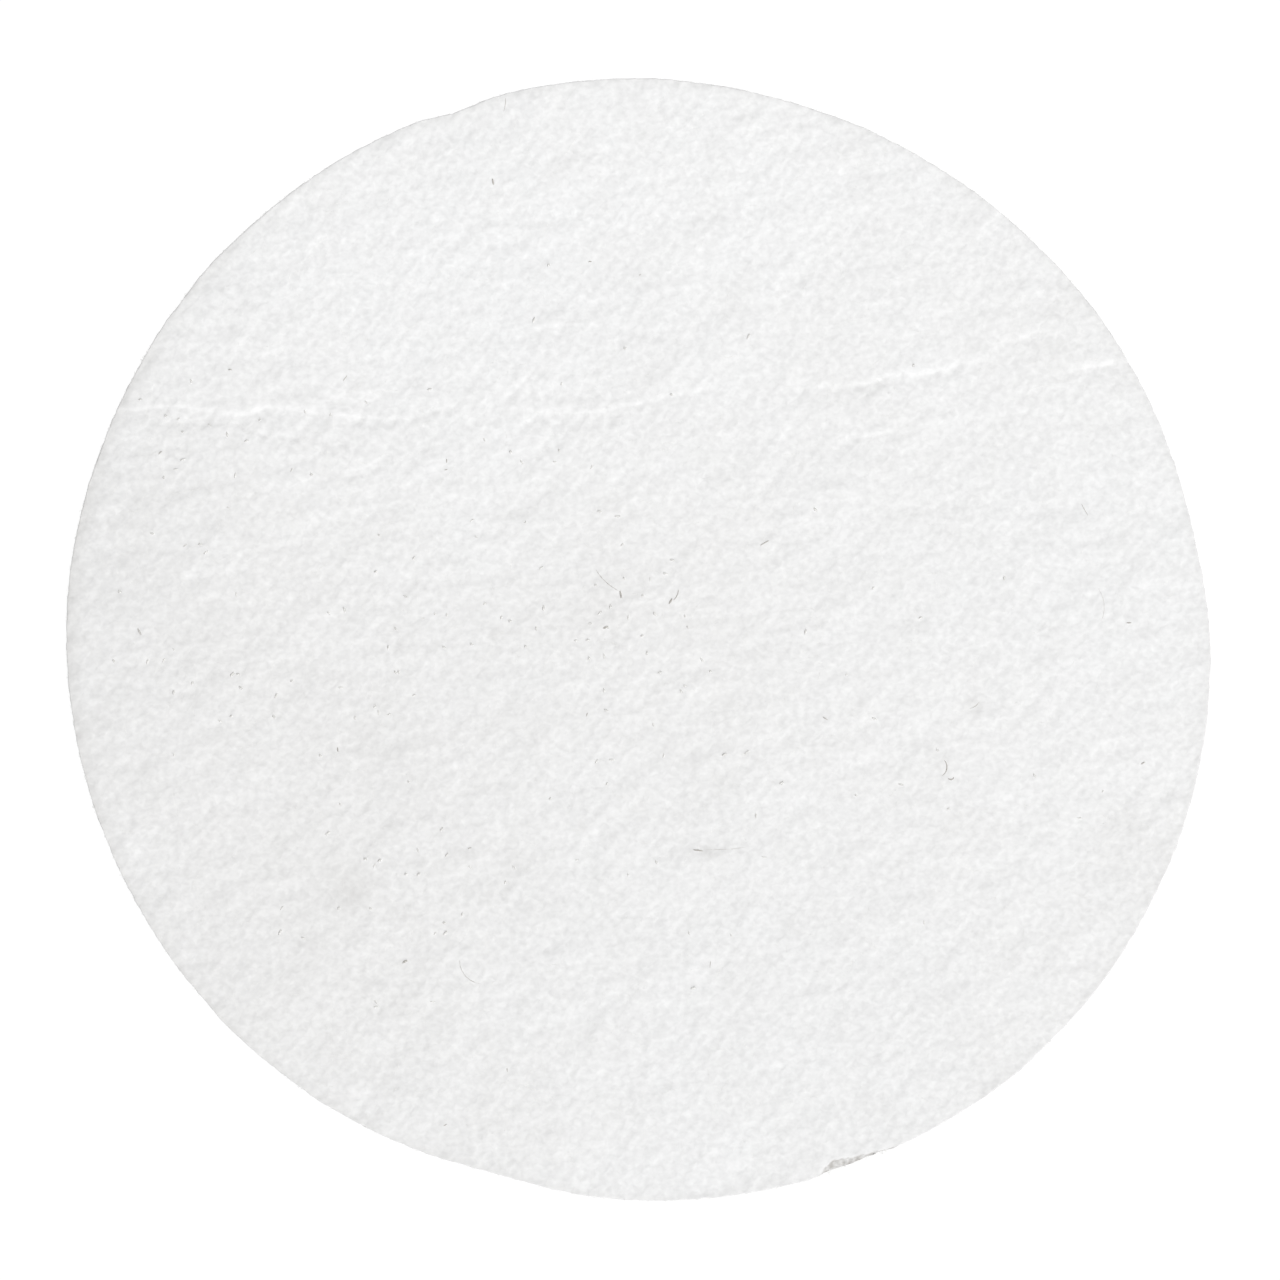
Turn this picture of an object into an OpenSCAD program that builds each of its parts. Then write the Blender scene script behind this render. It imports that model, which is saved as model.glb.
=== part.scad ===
// Felt polishing disc for a flat lap: a soft white pad cut by hand from felt sheet, backed with
// peel-and-stick adhesive film under a paper release liner.
// It lies on its liner with the polishing face up. The origin is the centre of the liner's
// underside, and +Z points out of the polishing face. All sizes are in millimetres and degrees.

/* [Cut outline] */
// Nominal diameter of the disc
disc_d = 152; // [100:1:204]
// How far the soft felt has stretched out of round
stretch = 1.0; // [0:0.1:2]
// Direction of the stretch, from +X towards +Y
stretch_dir = -20; // [-90:1:90]
// How far the outline leans to an egg shape
egg = 0.25; // [0:0.05:0.6]
// Direction of the egg's blunt end
egg_dir = -40; // [-60:1:60]
// Waviness that the shears leave along the rim
wobble = 0.06; // [0:0.02:0.2]

/* [Felt] */
// Thickness of the felt
felt_t = 3.0; // [1.5:0.1:6]

/* [Backing] */
// Thickness of the adhesive film
adhesive_t = 0.15; // [0.1:0.05:0.3]
// Thickness of the paper release liner
liner_t = 0.1; // [0.06:0.01:0.2]

/* [Hidden] */

// Places where the shears cut inside the line: [direction, depth, half width in degrees]
SHORT_CUTS = [
    [11, 0.5, 9],
    [109, 0.6, 2.5],
    [255, 0.8, 8],
];
RIM_STEPS = 240;

// Heights of the faces where the layers meet
adhesive_z = liner_t;
felt_z = adhesive_z + adhesive_t;

// The angle a brought into -180 to 180
function half_turn(a) = a - 360 * round(a / 360);

function sum(list, i = 0) = i < len(list) ? list[i] + sum(list, i + 1) : 0;

// Depth of one short cut at direction a, fading away on both sides of its middle
function short_cut(a, cut) = cut[1] * exp(-pow(half_turn(a - cut[0]) / cut[2], 2));

// Distance from the centre to the cut edge at direction a
function rim_r(a) =
    disc_d / 2
    + stretch * cos(2 * (a - stretch_dir))
    + egg * cos(3 * (a - egg_dir))
    + wobble * (cos(8 * a) + 0.6 * sin(13 * a))
    - sum([for (cut = SHORT_CUTS) short_cut(a, cut)]);

// The outline that all three layers share, because they are cut together
module cut_outline() {
    polygon([
        for (i = [0 : RIM_STEPS - 1])
            let (a = i * 360 / RIM_STEPS)
            rim_r(a) * [cos(a), sin(a)]
    ]);
}

// One layer of the sandwich, from height z upwards
module layer(z, thickness) {
    translate([0, 0, z])
        linear_extrude(height = thickness)
            cut_outline();
}

// The felt itself, whose upper side does the polishing
module felt_pad() {
    color("whitesmoke") layer(felt_z, felt_t);
}

// Pressure-sensitive film, bonded to the felt, that sticks the disc to a lap plate
module adhesive_film() {
    color("cornsilk") layer(adhesive_z, adhesive_t);
}

// Silicone-coated paper that covers the adhesive until the disc is fitted
module release_liner() {
    color("wheat") layer(0, liner_t);
}

felt_pad();
adhesive_film();
release_liner();
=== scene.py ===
"""A felt polishing disc for a flat lap, lying on its paper liner with the polishing face up.

The disc was cut by hand from soft white needled felt. It keeps the creases of the folded sheet,
rows of needle marks, dark plant fibres in the wool, loose hairs, a rim that the shears left a
little ragged, and one nick in the rim's upper edge. An adhesive film and a release liner close its
back.
"""

import logging
import math
from dataclasses import dataclass, field
from enum import Enum

import bpy
import numpy as np
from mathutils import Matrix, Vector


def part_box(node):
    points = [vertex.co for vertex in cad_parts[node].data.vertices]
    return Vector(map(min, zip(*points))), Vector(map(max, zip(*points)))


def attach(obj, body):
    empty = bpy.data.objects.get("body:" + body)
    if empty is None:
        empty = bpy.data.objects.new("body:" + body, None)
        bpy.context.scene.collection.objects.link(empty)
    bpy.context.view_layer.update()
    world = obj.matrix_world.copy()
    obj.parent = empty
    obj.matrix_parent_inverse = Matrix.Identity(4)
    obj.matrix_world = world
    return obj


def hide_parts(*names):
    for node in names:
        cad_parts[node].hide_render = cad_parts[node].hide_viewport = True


LOG = logging.getLogger("felt_disc")
MM = 0.001
# Points of a fibre nearer to each other than this many metres are one point.
JOIN_GAP = 1e-6
# Directions in which the outline is measured for its area.
AREA_STEPS = 7200

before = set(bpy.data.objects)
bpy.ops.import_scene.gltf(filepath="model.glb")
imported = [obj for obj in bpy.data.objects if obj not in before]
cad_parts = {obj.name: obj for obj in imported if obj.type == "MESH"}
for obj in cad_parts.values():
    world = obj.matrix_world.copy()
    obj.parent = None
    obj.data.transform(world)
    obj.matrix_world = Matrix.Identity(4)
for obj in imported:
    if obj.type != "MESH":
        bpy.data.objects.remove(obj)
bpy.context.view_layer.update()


class Body(Enum):
    """The two bodies that part when the liner comes off."""

    LINER = "liner"
    DISC = "disc"


class Slot(Enum):
    """The record's material slots."""

    FELT = "white_felt"
    ADHESIVE = "adhesive"
    PAPER = "liner_paper"


# ---------------------------------------------------------------- small helpers


def linear(hex_colour: str) -> tuple[float, float, float, float]:
    """Turn an sRGB hex value into a linear colour.

    Args:
        hex_colour: Six hex digits after a hash sign.

    Returns:
        Linear red, green and blue, and an alpha of 1.
    """
    parts = [int(hex_colour[i : i + 2], 16) / 255 for i in (1, 3, 5)]
    lin = [c / 12.92 if c <= 0.04045 else ((c + 0.055) / 1.055) ** 2.4 for c in parts]
    return (lin[0], lin[1], lin[2], 1.0)


def add_node(
    tree: bpy.types.NodeTree, kind: str, inputs: dict | None = None, **settings: object
) -> bpy.types.Node:
    """Add one node with its settings and links.

    Args:
        tree: The node tree that the node joins.
        kind: The node's type name.
        inputs: A value, or the socket to link, for each input by name or number.
        **settings: The node's own properties.

    Returns:
        The new node.
    """
    node = tree.nodes.new(kind)
    for name, value in settings.items():
        setattr(node, name, value)
    for name, value in (inputs or {}).items():
        if isinstance(value, bpy.types.NodeSocket):
            tree.links.new(value, node.inputs[name])
        else:
            node.inputs[name].default_value = value
    return node


def new_material(name: str) -> tuple[bpy.types.Material, bpy.types.NodeTree]:
    """Make an empty node material.

    Args:
        name: The finish's name.

    Returns:
        The material and its node tree, which holds no nodes yet.
    """
    material = bpy.data.materials.new(name)
    material.use_nodes = True
    material.node_tree.nodes.clear()
    return material, material.node_tree


def grain(
    tree: bpy.types.NodeTree,
    cell_mm: tuple[float, float, float],
    turn_deg: float = 0.0,
    **noise: float,
) -> bpy.types.NodeSocket:
    """Add a noise pattern of a real size, stretched along one direction of the disc.

    Args:
        tree: The node tree.
        cell_mm: Size of one lump of the pattern, along, across and through the sheet.
        turn_deg: Direction of the long side of the lumps, from +X towards +Y.
        **noise: The noise node's inputs, such as Detail.

    Returns:
        The pattern's value, from 0 to 1.
    """
    place = add_node(tree, "ShaderNodeTexCoord")
    mapping = add_node(
        tree,
        "ShaderNodeMapping",
        {
            "Vector": place.outputs["Object"],
            "Rotation": (0, 0, math.radians(turn_deg)),
            "Scale": tuple(c * MM for c in cell_mm),
        },
        vector_type="TEXTURE",
    )
    inputs = {"Vector": mapping.outputs["Vector"], "Scale": 1.0}
    inputs.update({name.replace("_", " ").title(): v for name, v in noise.items()})
    return add_node(tree, "ShaderNodeTexNoise", inputs).outputs["Fac"]


def blend_colours(
    tree: bpy.types.NodeTree,
    share: bpy.types.NodeSocket,
    first: object,
    second: object,
) -> bpy.types.NodeSocket:
    """Mix two colours.

    Args:
        tree: The node tree.
        share: How much of the second colour, from 0 to 1.
        first: A colour or a colour socket.
        second: A colour or a colour socket.

    Returns:
        The mixed colour.
    """
    mix = add_node(tree, "ShaderNodeMix", {0: share, 6: first, 7: second}, data_type="RGBA")
    return mix.outputs[2]


def weigh(
    tree: bpy.types.NodeTree, value: bpy.types.NodeSocket, times: float, plus: object
) -> bpy.types.NodeSocket:
    """Multiply a value and add another.

    Args:
        tree: The node tree.
        value: The value to scale.
        times: The factor.
        plus: A number or a socket to add.

    Returns:
        value * times + plus.
    """
    inputs = {0: value, 1: times, 2: plus}
    return add_node(tree, "ShaderNodeMath", inputs, operation="MULTIPLY_ADD").outputs[0]


def close_material(
    tree: bpy.types.NodeTree,
    inputs: dict,
    height: bpy.types.NodeSocket | None = None,
    relief_mm: float = 0.0,
    strength: float = 1.0,
) -> None:
    """Close a material with its shader and, where it has relief, its bump.

    Args:
        tree: The node tree.
        inputs: A value, or the socket to link, for each of the shader's inputs.
        height: The relief, from 0 to 1.
        relief_mm: Height of the relief where it is 1.
        strength: How much of the relief shows.
    """
    if height is not None:
        relief = {"Height": height, "Distance": relief_mm * MM, "Strength": strength}
        inputs["Normal"] = add_node(tree, "ShaderNodeBump", relief).outputs["Normal"]
    shader = add_node(tree, "ShaderNodeBsdfPrincipled", inputs)
    add_node(tree, "ShaderNodeOutputMaterial", {"Surface": shader.outputs["BSDF"]})


def deselect_all() -> None:
    """Leave object mode with nothing selected."""
    if bpy.context.object and bpy.context.object.mode != "OBJECT":
        bpy.ops.object.mode_set(mode="OBJECT")
    bpy.ops.object.select_all(action="DESELECT")


def points_of(mesh: bpy.types.Mesh) -> np.ndarray:
    """Read a mesh's points.

    Args:
        mesh: The mesh.

    Returns:
        One row of x, y and z for each point.
    """
    flat = np.zeros(len(mesh.vertices) * 3)
    mesh.vertices.foreach_get("co", flat)
    return flat.reshape(-1, 3)


def set_points(mesh: bpy.types.Mesh, points: np.ndarray) -> None:
    """Move a mesh's points to these rows of x, y and z."""
    mesh.vertices.foreach_set("co", points.ravel())
    mesh.update()


def smooth_line(points: tuple[tuple[float, float], ...], step: float) -> np.ndarray:
    """Draw a smooth line through given points.

    Args:
        points: The points, at least two.
        step: Distance between the points of the result, about.

    Returns:
        Rows of x and y along the line.
    """
    p = np.array(points, float)
    p = np.vstack([2 * p[0] - p[1], p, 2 * p[-1] - p[-2]])
    rows = []
    for a, b, c, d in zip(p, p[1:], p[2:], p[3:]):
        count = max(2, int(np.linalg.norm(c - b) / step))
        t = np.linspace(0, 1, count, endpoint=False)[:, None]
        rows.append(
            0.5 * (2 * b + (c - a) * t + (2 * a - 5 * b + 4 * c - d) * t**2 + (3 * b - a - 3 * c + d) * t**3)
        )
    return np.vstack([*rows, p[-2]])


@dataclass(frozen=True)
class Waves:
    """Unevenness of felt: many low waves of random phase whose crests run in a few directions."""

    shortest: float
    longest: float
    rms: float
    seed: int
    # Directions of the crests in degrees, or none for no direction of their own, and how far
    # the crests stray from them.
    lay: tuple[float, ...] = ()
    spread: float = 14.0
    count: int = 90

    def height(self, x: np.ndarray, y: np.ndarray) -> np.ndarray:
        """Return the height at each point, in the unit of rms.

        Args:
            x: Distance along +X, in millimetres.
            y: Distance along +Y, in millimetres.

        Returns:
            Heights with the root mean square of rms.
        """
        rng = np.random.default_rng(self.seed)
        total = np.zeros(len(x))
        for i in range(self.count):
            wavelength = self.shortest * (self.longest / self.shortest) ** rng.random()
            heading = rng.random() * 360
            if self.lay:
                heading = self.lay[i % len(self.lay)] + 90 + rng.normal() * self.spread
            k = 2 * math.pi / wavelength
            kx, ky = k * math.cos(math.radians(heading)), k * math.sin(math.radians(heading))
            total += np.cos(kx * x + ky * y + rng.random() * 2 * math.pi)
        return total * self.rms / math.sqrt(self.count / 2)


@dataclass(frozen=True)
class NeedleMarks:
    """Rows of shallow pits, a tenth of an inch apart, where the loom's needles packed the felt."""

    # How deep the pits are, and how deep the rows are either way, in millimetres.
    pit_depth: float = 0.0464
    row_depths: tuple[float, float] = (0.0138, 0.0119)
    # Distance between rows in millimetres, and the direction across them in degrees.
    rows: tuple[tuple[float, float], ...] = ((2.576, 9.49), (2.545, 98.5))
    # Where the first pit lies, as a share of each distance.
    start: tuple[float, float] = (0.52, 0.73)

    def relief(self, x: np.ndarray, y: np.ndarray) -> np.ndarray:
        """Return how far each point lies above the felt's mean face, in mm.

        Args:
            x: Distance along +X, in millimetres.
            y: Distance along +Y, in millimetres.

        Returns:
            The height, negative in the pits.
        """
        height = np.zeros(len(x))
        pits = np.ones(len(x))
        for (pitch, heading), start, depth in zip(self.rows, self.start, self.row_depths):
            turn = math.radians(heading)
            across = (x * math.cos(turn) + y * math.sin(turn)) / pitch
            fall = np.cos(2 * math.pi * (across - start))
            height -= depth * fall
            pits *= fall
        return height - self.pit_depth * pits


# ---------------------------------------------------------------- finishes


@dataclass(frozen=True)
class WoolFelt:
    """Needled and pressed wool felt, bleached white.

    Needles and pressing mat the fibres, so the eye gets a matt face with a soft glow at grazing
    angles, small lumps, a faint lay of the fibres, and cloudy warm and cool whites.
    """

    # Painted shade, with a little dust, for the hollows between the lumps, and painted light for the crowns.
    hollow_shade: str = "#DCDCDC"
    lit_crown: str = "#FDFDFD"
    warm: str = "#F4F3F1"
    cool: str = "#F2F4F5"
    # Colour of dirt and dust, also used for painted shade along the rim and in the nick.
    soil_and_shade: str = "#8C867E"
    # Painted highlight along the creases' lit walls.
    crease_highlight: str = "#FEFEFE"
    # The lumps of matted wool, and the fibre bundles that run over them.
    lump_mm: tuple[float, float, float] = (1.7, 1.0, 1.0)
    # Wool is 0.02 mm thick, too fine to show, so bundles of ten fibres or so are drawn.
    bundle_mm: tuple[float, float, float] = (1.3, 0.34, 0.34)
    # Height of the bundles, as a share of the lumps' height.
    bundle_share: float = 0.055
    lays_deg: tuple[float, float] = (46.0, 8.0)
    # Height from the deepest hollow to the highest lump.
    relief_mm: float = 0.082
    # Size of the painted hollows and crowns, and how much their shade and light show in the colour.
    mottle_mm: tuple[float, float, float] = (0.9, 0.8, 0.8)
    shade_share: float = 0.86
    # Warm and cool patches of wool, and how strongly they and the piece's own warmth count.
    cloud_mm: tuple[float, float, float] = (7.0, 5.0, 5.0)
    cloud_swing: float = 1.2
    warmth_swing: float = 0.5
    coolness: float = -0.1

    def material(self) -> bpy.types.Material:
        """Build the felt's material, which reads the piece's warmth, its soil and painted shade, and its
        painted crease highlight.

        Returns:
            The material.
        """
        material, tree = new_material("pressed_wool_felt")
        warmth = add_node(tree, "ShaderNodeAttribute", attribute_name="warmth").outputs["Fac"]
        darkened = add_node(tree, "ShaderNodeAttribute", attribute_name="soil_and_shade").outputs["Fac"]
        crease_lit = add_node(tree, "ShaderNodeAttribute", attribute_name="crease_highlight").outputs["Fac"]
        lumps = grain(tree, self.lump_mm, self.lays_deg[0], detail=1.3, roughness=0.5, distortion=0.5)
        bundles = grain(tree, self.bundle_mm, self.lays_deg[1], detail=2.0, roughness=0.6, distortion=0.8)
        crossed = grain(tree, self.bundle_mm, self.lays_deg[0], detail=2.0, roughness=0.6, distortion=0.8)

        clouds = grain(tree, self.cloud_mm, self.lays_deg[0], detail=2.0)
        tone = weigh(tree, warmth, self.warmth_swing, self.coolness)
        tone = weigh(tree, clouds, self.cloud_swing, tone)
        mottle = grain(tree, self.mottle_mm, self.lays_deg[1], detail=1.0, distortion=0.3)
        colour = blend_colours(tree, tone, linear(self.cool), linear(self.warm))
        # Painted shade in the hollows and painted light on the crowns.
        shaded = blend_colours(tree, mottle, linear(self.hollow_shade), linear(self.lit_crown))
        colour = blend_colours(tree, self.shade_share, colour, shaded)
        # Painted highlight along the creases' lit walls.
        colour = blend_colours(tree, crease_lit, colour, linear(self.crease_highlight))
        # Dirt and dust, with painted shade along the rim and in the nick.
        colour = blend_colours(tree, darkened, colour, linear(self.soil_and_shade))

        height = weigh(tree, crossed, self.bundle_share, lumps)
        height = weigh(tree, bundles, self.bundle_share, height)
        sockets = {
            "Base Color": colour,
            "Roughness": weigh(tree, lumps, -0.14, 1.0),
            "IOR": 1.54,
            "Specular IOR Level": 0.2,
            "Sheen Weight": 0.16,
            "Sheen Roughness": 0.55,
        }
        close_material(tree, sockets, height, self.relief_mm)
        return material


@dataclass(frozen=True)
class WoolHair:
    """Bleached wool fibres, combed out of the felt: matt, and cloudy between two whites."""

    bright: str = "#F6F6F4"
    dull: str = "#F1F0EC"

    def material(self) -> bpy.types.Material:
        """Build the hairs' material.

        Returns:
            The material.
        """
        material, tree = new_material("bleached_wool_fibre")
        shade = grain(tree, (2.5, 2.5, 2.5), detail=1.0)
        colour = blend_colours(tree, shade, linear(self.bright), linear(self.dull))
        sockets = {"Base Color": colour, "Roughness": 0.75, "IOR": 1.54, "Sheen Weight": 0.1}
        close_material(tree, sockets)
        return material


@dataclass(frozen=True)
class PlantFibre:
    """Bits of hay and burr that scouring leaves in wool: dry and matt, grey-brown, paler where worn."""

    dark: str = "#6E665C"
    pale: str = "#9A9184"
    # Wool that lies over the deeper bits.
    wool: str = "#EFEFEC"

    def material(self) -> bpy.types.Material:
        """Build the flecks' material.

        Returns:
            The material.
        """
        material, tree = new_material("dry_plant_fibre")
        worn = grain(tree, (0.9, 0.9, 0.9), detail=3.0)
        covered = add_node(tree, "ShaderNodeAttribute", attribute_name="covered").outputs["Fac"]
        colour = blend_colours(tree, worn, linear(self.dark), linear(self.pale))
        colour = blend_colours(tree, covered, colour, linear(self.wool))
        sockets = {"Base Color": colour, "Roughness": weigh(tree, worn, 0.3, 0.6), "IOR": 1.5}
        close_material(tree, sockets, worn, 0.05, 0.8)
        return material


@dataclass(frozen=True)
class AcrylicAdhesive:
    """Acrylic adhesive on a clear polyester film.

    It was rolled wet on the film, so it is glossy with a faint orange peel, the felt's lumps print
    through it, and small trapped bubbles show as paler dots.
    """

    clear: str = "#E9E3CF"
    bubble: str = "#F6F3EA"

    def material(self) -> bpy.types.Material:
        """Build the adhesive's material.

        Returns:
            The material.
        """
        material, tree = new_material("acrylic_adhesive_film")
        print_through = grain(tree, (2.2, 1.4, 1.4), 46.0, detail=3.0, distortion=0.4)
        peel = grain(tree, (0.5, 0.5, 0.5), detail=1.0)
        bubbles = grain(tree, (1.1, 1.1, 1.1), detail=0.0)
        dots = add_node(
            tree,
            "ShaderNodeMapRange",
            {"Value": bubbles, "From Min": 0.66, "From Max": 0.72},
        ).outputs["Result"]
        colour = blend_colours(tree, dots, linear(self.clear), linear(self.bubble))
        height = weigh(tree, peel, 0.2, print_through)
        sockets = {
            "Base Color": colour,
            "Roughness": weigh(tree, print_through, 0.2, 0.12),
            "IOR": 1.47,
            "Coat Weight": 0.3,
            "Coat Roughness": 0.15,
        }
        close_material(tree, sockets, height, 0.06)
        return material


@dataclass(frozen=True)
class LinerPaper:
    """Unbleached kraft release paper with a silicone coat.

    Pulp settles in clouds as the sheet forms, and calendering leaves streaks along the web, so the
    tan is cloudy with short darker fibres, and the coat gives it a satin shine.
    """

    tan: str = "#D9C9A3"
    light: str = "#E6DABA"
    fibre: str = "#B39B6C"

    def material(self) -> bpy.types.Material:
        """Build the paper's material.

        Returns:
            The material.
        """
        material, tree = new_material("silicone_coated_kraft")
        clouds = grain(tree, (6.0, 4.0, 4.0), detail=4.0, roughness=0.6)
        pulp = grain(tree, (2.4, 0.25, 0.25), 4.0, detail=2.0, distortion=1.2)
        crossed = grain(tree, (1.8, 0.25, 0.25), 73.0, detail=2.0, distortion=1.2)
        both = add_node(
            tree, "ShaderNodeMath", {0: pulp, 1: crossed}, operation="MAXIMUM"
        ).outputs[0]
        strands = add_node(
            tree, "ShaderNodeMapRange", {"Value": both, "From Min": 0.62, "From Max": 0.78}
        ).outputs["Result"]
        colour = blend_colours(tree, clouds, linear(self.tan), linear(self.light))
        colour = blend_colours(tree, weigh(tree, strands, 0.6, 0.0), colour, linear(self.fibre))
        sockets = {
            "Base Color": colour,
            "Roughness": weigh(tree, clouds, 0.25, 0.38),
            "IOR": 1.45,
            "Coat Weight": 0.15,
            "Coat Roughness": 0.3,
        }
        close_material(tree, sockets, both, 0.02, 0.7)
        return material


@dataclass(frozen=True)
class GlowingAcrylic:
    """The white acrylic table under the disc, lit from inside so that shadows stay faint."""

    white: str = "#F4F4F4"
    # Light that comes out of it, and how much of what falls on it comes back.
    glow: float = 0.94
    surface: float = 0.12

    def material(self) -> bpy.types.Material:
        """Build the table's material.

        Returns:
            The material.
        """
        material, tree = new_material("lit_white_acrylic")
        colour = tuple(c * self.surface for c in linear(self.white)[:3]) + (1.0,)
        sockets = {
            "Base Color": colour,
            "Roughness": 0.9,
            "Specular IOR Level": 0.0,
            "Emission Color": (1.0, 1.0, 1.0, 1.0),
            "Emission Strength": self.glow,
        }
        close_material(tree, sockets)
        return material


# ---------------------------------------------------------------- the felt


@dataclass
class CutOutline:
    """The closed line that the shears followed, as a radius for each direction."""

    angles: np.ndarray
    radii: np.ndarray

    @classmethod
    def of_node(cls, name: str) -> "CutOutline":
        """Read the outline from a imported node, whose points all lie on it.

        Args:
            name: The node's name.

        Returns:
            The outline, in millimetres.
        """
        points = points_of(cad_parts[name].data) / MM
        angles = np.arctan2(points[:, 1], points[:, 0])
        _, first = np.unique(np.round(angles, 4), return_index=True)
        return cls(angles[first], np.hypot(points[first, 0], points[first, 1]))

    def radius(self, angle: np.ndarray) -> np.ndarray:
        """Return the distance from the centre to the outline in each direction, in mm."""
        return np.interp(angle, self.angles, self.radii, period=2 * math.pi)

    def inset_of(self, x: np.ndarray, y: np.ndarray) -> np.ndarray:
        """Return how far inside the outline each point lies, in mm."""
        return self.radius(np.arctan2(y, x)) - np.hypot(x, y)

    def area_m2(self) -> float:
        """Return the area inside the outline, in square metres."""
        turn = np.linspace(-math.pi, math.pi, AREA_STEPS, endpoint=False)
        return float((self.radius(turn) ** 2).mean() * math.pi) * MM * MM


@dataclass(frozen=True)
class Wrinkle:
    """A shallow crease that folding left in the felt, along a line in millimetres from the centre.

    One wall of it is steep and catches the light, and the other runs out gently.
    """

    line: tuple[tuple[float, float], ...]
    depth: float
    # The side that is steep, going along the line.
    steep_left: bool = True
    # Widths of the two walls, in millimetres.
    steep: float = 0.36
    gentle: float = 1.5
    # Strength of the painted highlight along the bottom and the steep wall, and how wide it is on the gentle
    # side.
    brushed: float = 0.4
    highlight_gentle: float = 0.2
    # Distance between the points of the smooth line, in millimetres.
    step: float = 0.4
    # A wall is taken to end at this many times its width.
    wall_end: float = 2.5
    # How unevenly deep the crease is along its length, and the two wave numbers of that, per mm.
    uneven: float = 0.25
    uneven_waves: tuple[float, float] = (1.3, 0.47)

    def relief(self, x: np.ndarray, y: np.ndarray) -> np.ndarray:
        """Return how far the crease lowers each point, in mm, as a negative number."""
        return -self.depth * self._profile(x, y, self.gentle)

    def painted_highlight(self, x: np.ndarray, y: np.ndarray) -> np.ndarray:
        """Return the painted highlight at each point, from 0 to 1."""
        return self.brushed * self._profile(x, y, self.highlight_gentle)

    def _profile(self, x: np.ndarray, y: np.ndarray, gentle: float) -> np.ndarray:
        """Return the crease's cross-section at each point, 1 at its bottom.

        Args:
            x: Distance along +X, in millimetres.
            y: Distance along +Y, in millimetres.
            gentle: Width of the gentle wall, in millimetres.

        Returns:
            The share of the crease's full depth.
        """
        line = smooth_line(self.line, self.step)
        reach = self.wall_end * gentle
        near = np.flatnonzero(
            (x > line[:, 0].min() - reach)
            & (x < line[:, 0].max() + reach)
            & (y > line[:, 1].min() - reach)
            & (y < line[:, 1].max() + reach)
        )
        share = np.zeros(len(x))
        if not len(near):
            return share
        away = np.stack([x[near], y[near]], 1)[:, None, :] - line[None, :, :]
        gap = np.hypot(away[..., 0], away[..., 1])
        closest = gap.argmin(1)
        along = np.gradient(line, axis=0)
        along /= np.linalg.norm(along, axis=1)[:, None]
        offset = away[np.arange(len(near)), closest]
        side = along[closest, 0] * offset[:, 1] - along[closest, 1] * offset[:, 0]
        on_steep = (side > 0) == self.steep_left
        # The crease fades out at both ends of its line.
        fade = np.sin(np.clip(closest / (len(line) - 1), 0.01, 0.99) * math.pi) ** 0.5
        first, second = self.uneven_waves
        ripple = np.cos(line[closest, 0] * first) * np.cos(line[closest, 0] * second + 1)
        width = np.where(on_steep, self.steep, gentle)
        deep = 1 - self.uneven + self.uneven * ripple
        share[near] = fade * deep * np.exp(-((gap.min(1) / width) ** 2))
        return share


@dataclass(frozen=True)
class Spot:
    """A soft round patch on the face, in millimetres from the centre."""

    x: float
    y: float
    radius: float
    strength: float

    def share(self, x: np.ndarray, y: np.ndarray) -> np.ndarray:
        """Return how strong the patch is at each point."""
        return self.strength * np.exp(-((x - self.x) ** 2 + (y - self.y) ** 2) / self.radius**2)


@dataclass(frozen=True)
class Droop:
    """A fall of the face towards one edge of the sheet, in millimetres along one axis."""

    depth: float
    middle: float
    reach: float

    def fall(self, along: np.ndarray) -> np.ndarray:
        """Return how far the face lies lower at each distance along the axis, in mm."""
        return self.depth * np.exp(-(((along - self.middle) / self.reach) ** 2))


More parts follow.
